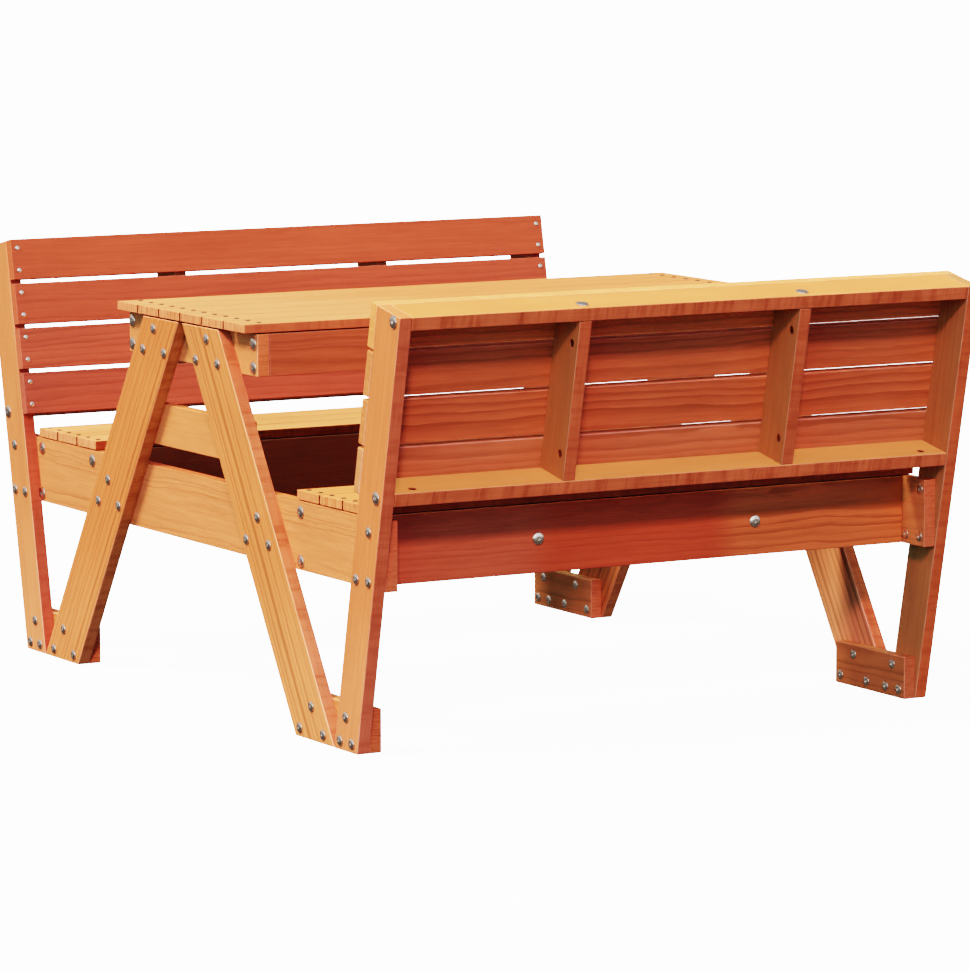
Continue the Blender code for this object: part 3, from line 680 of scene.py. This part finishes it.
# ---------------------------------------------------------------- end frames
for end, sx in SX.items():
    xo, xi = sx * (HALF + IN1) / 2, sx * (OUT2 + IN2) / 2
    board("crossbeam_" + end, axes((xi, 0, (BEAM_Z0 + BEAM_Z1) / 2), (0, 1, 0), (0, 0, 1)),
          rectangle(2 * BEAM_Y, BEAM_Z1 - BEAM_Z0), T2,
          look("crossbeam_" + end, "beam", 1.06 if sx < 0 else 0.92, (1.0, 1.02, 1.10)), radius=0.6)
    board("table_cleat_" + end, axes((xi, 0, LEG_TOP_Z - CLEAT_H / 2), (0, 1, 0), (0, 0, 1)),
          rectangle(2 * TABLE_Y, CLEAT_H), T2, look("table_cleat_" + end, "cleat", 1.05, (1.0, 1.05, 1.10)))
    board("leg_tie_" + end, axes((xi, 0, (335.0 + 392.3) / 2), (0, 1, 0), (0, 0, 1)),
          rectangle(310.0, 57.3), T2, look("leg_tie_" + end, "tie", 1.03, (1.0, 1.03, 1.05)))
    for bench, sy in SY.items():
        tag = end + "_" + bench
        m = axes(slant(sy, POST_S / 2, POST_W / 2, xo), slant_up(sy), slant_out(sy))
        inv = m.inverted()
        corners = [(POST_OUT - POST_W / COS, 0.0), (POST_OUT, 0.0), POST_TOP,
                   (POST_TOP[0] - POST_W * COS, POST_TOP[1] + POST_W * SIN)]
        local = [inv @ Vector((xo, sy * a, z)) for a, z in corners]
        # painted light and shade in the post tints: the far posts' low edge darker, the near right post darker with a
        # redder, lighter outer edge, the near left post paler at the foot
        board("post_" + tag, m, [(v.x, v.y) for v in local], THICK,
              look("post_" + tag, "post", 1.0, (0.95, 0.93, 1.02), low_edge=(0.78, 0.56, 0.70)) if sy > 0
              else look("post_" + tag, "post", 1.0, (0.93, 0.84, 0.89) if sx < 0 else (0.70, 0.87, 0.93),
                        pale_foot=1.0 if sx < 0 else 0.0, up_edge=(1.05, 1.12, 1.22) if sx < 0 else (1.38, 1.02, 0.90)))
        corners = [(326.8, 0.0), (433.1, 0.0), (111.3, LEG_TOP_Z), (5.0, LEG_TOP_Z)]
        mid = Vector((xo, sy * sum(a for a, z in corners) / 4, LEG_TOP_Z / 2))
        along = Vector((0, sy * (5.0 - 326.8), LEG_TOP_Z)).normalized()
        m = axes(mid, along, Vector((0, sy * along.z, -sy * along.y)))
        inv = m.inverted()
        local = [inv @ Vector((xo, sy * a, z)) for a, z in corners]
        # painted light and shade in the leg tints: the near right leg lighter and bluer, the far legs' low edge
        # lighter, the other narrow edges darker
        board("table_leg_" + tag, m, [(v.x, v.y) for v in local], THICK,
              look("table_leg_" + tag, "leg", 1.0, (1.12, 1.15, 1.40) if tag == "right_near" else
                   (0.93, 0.82, 0.77) if sy > 0 else (0.99, 0.96, 0.94),
                   low_edge=(0.86, 1.36, 1.36) if sy > 0 else WHITE,
                   up_edge=(0.84, 0.56, 0.48) if tag == "right_near" else (0.80, 0.72, 0.94)))
        # painted light and shade: the near right foot block tinted darker, the far right one lighter and bluer
        board("foot_block_" + tag, axes((xi, sy * (326.8 + POST_OUT) / 2, FOOT_H / 2), (0, 1, 0), (0, 0, 1)),
              rectangle(POST_OUT - 326.8, FOOT_H), T2,
              look("foot_block_" + tag, "block", 1.0, (0.82, 0.89, 0.97) if tag == "right_near" else
                   (1.18, 1.24, 1.46) if tag == "right_far" else WHITE))

        for y, z in ((528.0, 291.5), (494.5, 227.5), (527.0, 227.5)):
            frame_bolt("post_" + tag, "crossbeam_" + end, tag, sx, sy * y, z)
        for y, z in ((465.5, 45.0), (450.0, 12.5), (481.5, 12.5)):
            frame_bolt("post_" + tag, "foot_block_" + tag, tag, sx, sy * y, z)
        for y, z in ((79.0, 497.5), (48.0, 467.0), (111.0, 467.0)):
            frame_bolt("table_leg_" + tag, "table_cleat_" + end, tag, sx, sy * y, z)
        for y, z in ((223.5, 275.0), (191.5, 242.0), (255.0, 242.0)):
            frame_bolt("table_leg_" + tag, "crossbeam_" + end, tag, sx, sy * y, z)
        for y, z in ((371.8, 45.0), (339.8, 12.5), (404.0, 12.5)):
            frame_bolt("table_leg_" + tag, "foot_block_" + tag, tag, sx, sy * y, z)
        for y, z in ((139.0, 350.0), (109.0, 377.0)):
            wood_screw("leg_tie_" + end, "table_leg_" + tag, "leg_tie_" + end, (sx * IN2, sy * y, z),
                       (sx, 0, 0), T2, 30.0)

# ------------------------------------------------------------------ tabletop
pitch = (2 * TABLE_Y + 2.0) / 6
for i in range(6):
    y = -TABLE_Y + pitch * i + (pitch - 2.0) / 2
    name = "tabletop_board_%d" % (i + 1)
    # painted shade: the long edges facing a neighbouring board take SHADY, darkening the gaps
    board(name, axes((0, y, (TABLE_Z0 + SEAM + TABLE_Z1) / 2), (1, 0, 0), (0, 1, 0)),
          rectangle(2 * HALF, pitch - 3.5), TABLE_Z1 - TABLE_Z0 - SEAM,
          look(name, "top", 1.0, (0.93, 1.00, 1.08), low_edge=SHADY if i else WHITE, up_edge=SHADY if i < 5 else WHITE,
               blend=[(-330.0, 30.0, (0.90, 0.84, 0.83), 0.16)]),
          radius=0.8, square=True)
    for end, sx in SX.items():
        for dy in (-15.9, 15.9):
            wood_screw(name, "table_cleat_" + end, "tabletop", (sx * 411.5, y + dy, TABLE_Z1), (0, 0, -1),
                       TABLE_Z1 - TABLE_Z0, 23.0)
for bench, sy in SY.items():
    name = "table_apron_" + bench
    # painted shade: the apron tinted darker and bluer, its top edge darker still
    board(name, axes((0, sy * (TABLE_Y - THICK / 2), LEG_TOP_Z - CLEAT_H / 2), (1, 0, 0), (0, 0, 1)),
          rectangle(2 * SPAN, CLEAT_H), THICK, look(name, "apron", 1.0, (0.70, 0.67, 0.82), up_edge=(0.5, 0.36, 0.33)))
    for end, sx in SX.items():
        for z in (499.0, 467.5):
            connector("table_cleat_" + end, name, "table", (sx * OUT2, sy * 179.5, z), (-sx, 0, 0), T2,
                      (0, sy, 0), 7.1)

# ------------------------------------------------------------------- benches
seat_pitch = (SEAT_Y1 - SEAT_Y0 + 2.0) / 3
slat_pitch = (POST_S - BACK_S0 - SLAT_W) / 3
rail_s = {"top": POST_S - THICK / 2, "bottom": BACK_S0 + THICK / 2}
slat_w0 = POST_W + GAP
for bench, sy in SY.items():
    for i in range(3):
        y = SEAT_Y0 + seat_pitch * i + (seat_pitch - 2.0) / 2
        name = "seat_board_%s_%d" % (bench, i + 1)
        # painted light and shade: the far seat boards lighter and yellower, the open -Y edge of the first far and last
        # near board darker, SHADY on edges facing the gaps
        board(name, axes((0, sy * y, (SEAT_Z0 + SEAT_SEAM + SEAT_Z1) / 2), (1, 0, 0), (0, 1, 0)),
              rectangle(2 * OUT2, seat_pitch - 3.5), SEAT_Z1 - SEAT_Z0 - SEAT_SEAM,
              look(name, "seat", 1.0, (1.07, 1.16, 1.30) if sy > 0 else WHITE,
                   low_edge=((0.60, 0.42, 0.40) if sy > 0 else (0.64, 0.52, 0.52)) if i == (0 if sy > 0 else 2) else SHADY,
                   up_edge=WHITE if i == (0 if sy < 0 else 2) else SHADY), radius=0.8, square=True)
        for end, sx in SX.items():
            for dy in (-15.8, 15.8):
                wood_screw(name, "crossbeam_" + end, "seat_" + bench, (sx * 411.5, sy * (y + dy), SEAT_Z1),
                           (0, 0, -1), SEAT_Z1 - SEAT_Z0, 23.0)
    for which, y_mid, y_bolt in (("front", SEAT_Y0 + THICK / 2 + 0.2, 310.5),
                                 ("rear", SEAT_Y1 - THICK / 2 + 0.2, 474.5)):
        name = "seat_apron_%s_%s" % (bench, which)
        inward = 1 if which == "front" else -1
        # painted shade: the front aprons are tinted dark and bluish with faint figure, standing in for the deep shade
        # under the seat
        board(name, axes((0, sy * y_mid, (BEAM_Z0 + BEAM_Z1) / 2), (1, 0, 0), (0, 0, 1)),
              rectangle(2 * SPAN, BEAM_Z1 - BEAM_Z0), THICK,
              look(name, "apron", 1.0, (0.50, 0.42, 0.72), contrast=0.10, streaks=0.12) if which == "front"
              else look(name, "apron", 1.0, (0.98, 0.86, 0.93)) if bench == "far"
              else look(name, "apron", 1.0, (0.89, 0.82, 0.97), contrast=0.45,
                        blend=[(-200.0, -130.0, (0.83, 0.59, 0.60), 0.45), (90.0, 160.0, (1.07, 1.09, 0.94), 1.25)]))
        for end, sx in SX.items():
            for z in (291.0, 226.0):
                relief = "post_%s_%s" % (end, bench) if which == "rear" and z < 250 else None
                reach = THICK / 2 + (y_mid - y_bolt) * inward
                connector("crossbeam_" + end, name, "seat_" + bench, (sx * OUT2, sy * y_bolt, z), (-sx, 0, 0),
                          T2, (0, -sy * inward, 0), reach, relief)
    y0, y1 = SEAT_Y0 + THICK + 0.2 + GAP, SEAT_Y1 - THICK + 0.2 - GAP
    z_mid = (BEAM_Z0 + BEAM_Z1) / 2
    for end, sx in SX.items():
        name = "seat_cleat_%s_%s" % (bench, end)
        board(name, axes((sx * STATION_X, sy * (y0 + y1) / 2, z_mid), (0, 1, 0), (0, 0, 1)),
              rectangle(y1 - y0, BEAM_Z1 - BEAM_Z0), THICK, look(name, "beam"))
        connector("seat_apron_%s_rear" % bench, name, "seat_" + bench,
                  (sx * STATION_X, sy * (SEAT_Y1 + 0.2), z_mid), (0, -sy, 0), THICK, (-sx, 0, 0), THICK / 2)
        connector("seat_apron_%s_front" % bench, name, "seat_" + bench,
                  (sx * STATION_X, sy * (SEAT_Y0 + 0.2), z_mid), (0, sy, 0), THICK, (-sx, 0, 0), THICK / 2)
    for i in range(4):
        s = POST_S - SLAT_W / 2 - slat_pitch * i
        name = "back_slat_%s_%d" % (bench, i + 1)
        mid = s
        # painted light and shade in the slat tints: the far slats darker, more so lower down; the near top slat lighter
        # though it lies in shade, the near bottom slat lighter and yellower, the near slats' upper edges darker
        if bench == "far":
            wider, radius = 0.6, 0.5
            figure = look(name, "slat", 1.0, ((0.81, 0.59, 0.71), (0.77, 0.56, 0.75), (0.73, 0.56, 0.84),
                                              (0.61, 0.48, 0.81))[i], contrast=0.52, narrow=0.7, streaks=0.46)
        else:
            wider, radius = 2.55, 2.0
            figure = look(name, "slat", 1.0, ((1.36, 1.52, 1.38), (0.97, 1.01, 1.04), (0.97, 1.01, 1.06),
                                              (0.93, 1.16, 1.38))[i], contrast=1.05, narrow=0.55, streaks=0.60,
                          arris=0.55, up_edge=(0.95, 0.86, 0.66) if i else WHITE)
            if i == 0:
                radius = 0.8
        if i == 0:                      # the top slat's upper edge stays at the post's end
            mid, wider = s - wider / 4, wider / 2
        board(name, axes(slant(sy, mid, slat_w0 + SLAT_T / 2), (1, 0, 0), slant_up(sy)),
              rectangle(2 * HALF, SLAT_W + wider), SLAT_T, figure, radius=radius)
        for end, sx in SX.items():
            for ds in (-16.0, 16.0):
                wood_screw(name, "post_%s_%s" % (end, bench), "back_" + bench,
                           slant(sy, s + ds, slat_w0 + SLAT_T, sx * 430.0), slant_out(sy), SLAT_T, 34.0)
    for level, s in rail_s.items():
        name = "back_rail_%s_%s" % (bench, level)
        # painted light and shade: the bottom rails tinted darker, the rails' outer edge lighter
        board(name, axes(slant(sy, s, RAIL_W / 2), (1, 0, 0), slant_out(sy)),
              rectangle(2 * OUT2, RAIL_W), THICK,
              look(name, "rail", 1.0, (0.89, 0.82, 0.90) if level == "bottom" else (1.0, 0.98, 0.88),
                   up_edge=(1.12, 1.27, 1.16) if level == "bottom" else (1.04, 1.12, 1.25)))
        push = slant_up(sy) * (1 if level == "top" else -1)
        for end, sx in SX.items():
            connector("post_%s_%s" % (end, bench), name, "back_" + bench, slant(sy, s, CONNECT_W, sx * HALF),
                      (-sx, 0, 0), THICK, push, THICK / 2)
    d0 = rail_s["bottom"] + THICK / 2 + GAP
    d1 = rail_s["top"] - THICK / 2 - GAP
    for end, sx in SX.items():
        name = "back_divider_%s_%s" % (bench, end)
        x = sx * STATION_X
        # painted light and shade: the dividers tinted darker, their outer edge redder and lighter
        board(name, axes(slant(sy, (d0 + d1) / 2, RAIL_W / 2, x), slant_up(sy), slant_out(sy)),
              rectangle(d1 - d0, RAIL_W), THICK, look(name, "divider", 1.0, (0.72, 0.90, 0.92), up_edge=(1.30, 1.0, 1.0)))
        push = (-sy, 0, 0)
        connector("back_rail_%s_top" % bench, name, "back_" + bench, slant(sy, POST_S, CONNECT_W, x),
                  -slant_up(sy), THICK, push, THICK / 2)
        connector("back_rail_%s_bottom" % bench, name, "back_" + bench, slant(sy, BACK_S0, CONNECT_W, x),
                  slant_up(sy), THICK, push, THICK / 2)

for name in boards:
    build_board(name)


# ----------------------------------------------------------------- fasteners
def domed_head(radius, height, socket, deep, base=0.1):
    """Profile of a low dome with a hexagonal socket, from the socket's floor
    over the crown to the rim and under the head."""
    rim = 0.32 * height
    line = [(0, base + height - deep), (socket * 0.96, base + height - deep, True)]

    def crown(r):
        return base + rim + (height - rim) * math.sqrt(max(0.0, 1 - (r / radius) ** 2)) ** 0.9

    line.append((socket, crown(socket) - 0.25, True))
    line.append((socket + 0.3, crown(socket + 0.3), True))
    for k in range(1, 7):
        r = socket + 0.3 + (radius - socket - 0.3) * math.sin(k / 7 * math.pi / 2)
        line.append((r, crown(r)))
    line += [(radius, base + rim), (radius - 0.12, base + 0.12), (radius - 0.35, base)]
    return line


def spread_fasteners(kind, material, make, sides):
    for group, items in fasteners[kind].items():
        bm = bmesh.new()
        for item in items:
            matrix, profile = make(item)
            turn(bm, matrix, profile, sides)
        name = "%s.%s" % (kind, group)
        mesh = mesh_from(bm, name, sharp=38)
        # the tabletop and seat screws take the darker copy of the zinc, painted shade
        mesh.materials.append(SHADED_ZINC if kind == "wood_screws" and group.startswith(("tabletop", "seat")) else material)
        obj = temp(name, mesh)
        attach(obj, "root")
        yield group, obj


SHANK = 2.3


def make_frame_bolt(m):
    body = domed_head(6.9, 3.0, 2.4, 1.9)
    return m, body + [(SHANK, 0.1), (SHANK, -20.0), (SHANK - 0.5, -20.6), (0, -20.6)]


def make_sleeve_nut(m):
    body = domed_head(6.6, 2.2, 2.1, 1.5)
    return m, body + [(SHANK + 0.4, 0.1), (SHANK + 0.4, -14.6), (0, -14.6)]


def make_connector(m):
    body = domed_head(8.5, 3.0, 2.9, 2.0)
    tip = THICK + CONN_DEPTH + 4.0
    return m, body + [(SHANK, 0.1), (SHANK, -tip + 0.9), (SHANK - 0.8, -tip), (0, -tip)]


def make_barrel(item):
    m, reach = item
    top = reach - 0.6
    return m, [(0, top - 1.2), (1.7, top - 1.2, True), (1.75, top - 0.15, True), (1.95, top),
               (4.3, top), (4.8, top - 0.5), (4.8, -4.6), (4.4, -5.0), (0, -5.0)]


def make_screw(item):
    m, length = item
    return m, [(0, 0.1), (1.25, 0.1, True), (1.35, 0.95, True), (1.55, 1.12, True), (2.2, 1.05), (2.8, 0.82),
               (3.35, 0.45), (3.65, 0.05), (3.5, -0.25), (2.0, -2.2), (1.75, -3.2),
               (1.6, -length + 6), (0, -length)]


for kind, material, make, sides, node, home in (
        ("frame_bolts", ZINC, make_frame_bolt, 24, "frame_bolt", "right_near"),
        ("sleeve_nuts", ZINC, make_sleeve_nut, 24, None, None),
        ("connector_bolts", ZINC, make_connector, 30, "connector_bolt", "back_near"),
        ("barrel_nuts", SHADED_NUT_STEEL, make_barrel, 24, "barrel_nut", "back_near"),
        ("wood_screws", ZINC, make_screw, 18, "wood_screw", "back_near")):
    for group, obj in spread_fasteners(kind, material, make, sides):
        if node and group == home:
            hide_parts(node)


# --------------------------------------------------------------------- stage
def floor_material():
    m = bpy.data.materials.new("pale_floor")
    m.use_nodes = True
    m.node_tree.nodes.clear()
    t = Tree(m.node_tree)
    path = t.node("ShaderNodeLightPath")
    pale = t.node("ShaderNodeBsdfDiffuse")
    pale.inputs[0].default_value = (0.9, 0.9, 0.9, 1)
    glow = t.node("ShaderNodeEmission")
    glow.inputs["Color"].default_value = (1, 1, 1, 1)
    glow.inputs["Strength"].default_value = 6.0
    seen = t.node("ShaderNodeAddShader")
    t.put(seen.inputs[0], pale.outputs[0])
    t.put(seen.inputs[1], glow.outputs[0])
    dim = t.node("ShaderNodeBsdfDiffuse")
    dim.inputs[0].default_value = (0.02, 0.02, 0.02, 1)
    pick = t.node("ShaderNodeMixShader")
    t.put(pick.inputs[0], path.outputs["Is Camera Ray"])
    t.put(pick.inputs[1], dim.outputs[0])
    t.put(pick.inputs[2], seen.outputs[0])
    # what the steel mirrors of the floor
    shine = t.node("ShaderNodeEmission")
    shine.inputs["Color"].default_value = (0.12, 0.09, 0.07, 1)
    shine.inputs["Strength"].default_value = 1.0
    mirrored = t.node("ShaderNodeMixShader")
    t.put(mirrored.inputs[0], path.outputs["Is Glossy Ray"])
    t.put(mirrored.inputs[1], pick.outputs[0])
    t.put(mirrored.inputs[2], shine.outputs[0])
    under = t.node("ShaderNodeBsdfTransparent")
    side = t.node("ShaderNodeMixShader")
    t.put(side.inputs[0], t.node("ShaderNodeNewGeometry").outputs["Backfacing"])
    t.put(side.inputs[1], mirrored.outputs[0])
    t.put(side.inputs[2], under.outputs[0])
    t.put(t.node("ShaderNodeOutputMaterial").inputs[0], side.outputs[0])
    return m


bm = bmesh.new()
bmesh.ops.create_grid(bm, x_segments=2, y_segments=2, size=45.0)
floor_mesh = bpy.data.meshes.new("floor")
bm.to_mesh(floor_mesh)
bm.free()
floor_mesh.materials.append(floor_material())
floor = temp("floor", floor_mesh)


def sun(name, direction, power, angle, color=(1, 1, 1)):
    data = bpy.data.lights.new(name, "SUN")
    data.energy = power
    data.angle = math.radians(angle)
    data.color = color
    o = bpy.data.objects.new(name, data)
    scene.collection.objects.link(o)
    o.rotation_mode = "QUATERNION"
    o.rotation_quaternion = Vector(direction).normalized().to_track_quat("Z", "Y")
    o.location = Vector(direction).normalized() * 5
    return o


sun("key", (-0.57, 0.13, 0.81), 8.0, 22.0, (1.0, 0.90, 0.875))
sun("fill", (-0.407, -0.714, 0.570), 2.83, 6.0, (1.0, 0.533, 0.648))
sun("side", (-0.88, -0.40, 0.22), 1.92, 52.0, (0.29, 0.79, 1.0))
sun("bounce", (-0.10, -0.98, -0.15), 0.84, 90.0, (1.0, 0.57, 0.68))
# the ceiling: even on the open boards, shaded by what is above on all others
sun("ceiling", (0.0, 0.0, 1.0), 4.12, 8.0, (0.604, 1.0, 0.755)).data.use_shadow = False
sun("roof", (0.0, 0.0, 1.0), 4.12, 40.0, (0.604, 1.0, 0.755))
for name in ("key", "fill", "side", "bounce", "ceiling", "roof"):
    bpy.data.objects[name].visible_glossy = False
lit_by = {name: bpy.data.collections.new("lit_by_" + name) for name in ("ceiling", "roof")}
for obj in scene.objects:
    if obj.name.partition(".")[0] in ("wood", *fasteners):
        is_open = obj.name.startswith(("wood.tabletop_board", "wood.seat_board", "wood.back_rail"))
        lit_by["ceiling" if is_open else "roof"].objects.link(obj)
for name, receivers in lit_by.items():
    bpy.data.objects[name].light_linking.receiver_collection = receivers

world = bpy.data.worlds.new("studio")
scene.world = world
world.use_nodes = True
world.node_tree.nodes.clear()
t = Tree(world.node_tree)
path = t.node("ShaderNodeLightPath")
where = t.node("ShaderNodeTexCoord").outputs["Generated"]
wx, wy, wz = t.split(where)
front = t.vec("SCALE", (0.26, 0.24, 0.80), scale=t.math("MAXIMUM", t.math("MULTIPLY", wy, -1.0), 0.0))
behind = t.vec("SCALE", (0.45, 0.42, 0.38), scale=t.math("MAXIMUM", wy, 0.0))
room = t.node("ShaderNodeBackground")
t.put(room.inputs[0], t.vec("ADD", front, behind))
room.inputs[1].default_value = 1.0
# what the steel mirrors: a bright window in front on the left and a dim room
window = t.vec("DOT_PRODUCT", where, Vector((-0.40, -0.90, 0.12)).normalized()[:])
window = t.math("POWER", t.math("MAXIMUM", window, 0.0), 1.5)
window = t.math("MULTIPLY", window, t.remap(wz, -0.50, -0.05, 0.50, 1.0))
room_tone = t.ramp(t.remap(wz, -1.0, 1.0), [
    (0.0, (0.46, 0.38, 0.30)), (0.38, (0.46, 0.38, 0.30)), (0.50, (0.56, 0.51, 0.44)),
    (0.75, (0.62, 0.58, 0.52)), (1.0, (0.56, 0.53, 0.48))])
room_tone = t.vec("SCALE", room_tone, scale=t.remap(wx, -0.50, 0.50, 1.10, 0.50))
front = t.vec("DOT_PRODUCT", where, Vector((0.35, -0.60, -0.72)).normalized()[:])
front = t.math("POWER", t.math("MAXIMUM", front, 0.0), 1.5)
room_tone = t.vec("ADD", room_tone, t.vec("SCALE", (1.0, 0.95, 0.90), scale=front))
mirror = t.node("ShaderNodeBackground")
t.put(mirror.inputs[0], t.vec("ADD", room_tone, t.vec("SCALE", (1.35, 1.27, 1.27), scale=window)))
mirror.inputs[1].default_value = 1.0
seen = t.node("ShaderNodeBackground")
seen.inputs[0].default_value = (1, 1, 1, 1)
seen.inputs[1].default_value = 8.0
lit = t.node("ShaderNodeMixShader")
t.put(lit.inputs[0], path.outputs["Is Glossy Ray"])
t.put(lit.inputs[1], room.outputs[0])
t.put(lit.inputs[2], mirror.outputs[0])
shown = t.node("ShaderNodeMixShader")
t.put(shown.inputs[0], path.outputs["Is Camera Ray"])
t.put(shown.inputs[1], lit.outputs[0])
t.put(shown.inputs[2], seen.outputs[0])
t.put(t.node("ShaderNodeOutputWorld").inputs[0], shown.outputs[0])

scene.view_settings.view_transform = "Filmic"
scene.view_settings.look = "High Contrast"
scene.view_settings.exposure = 0.0
scene.view_settings.gamma = 1.0
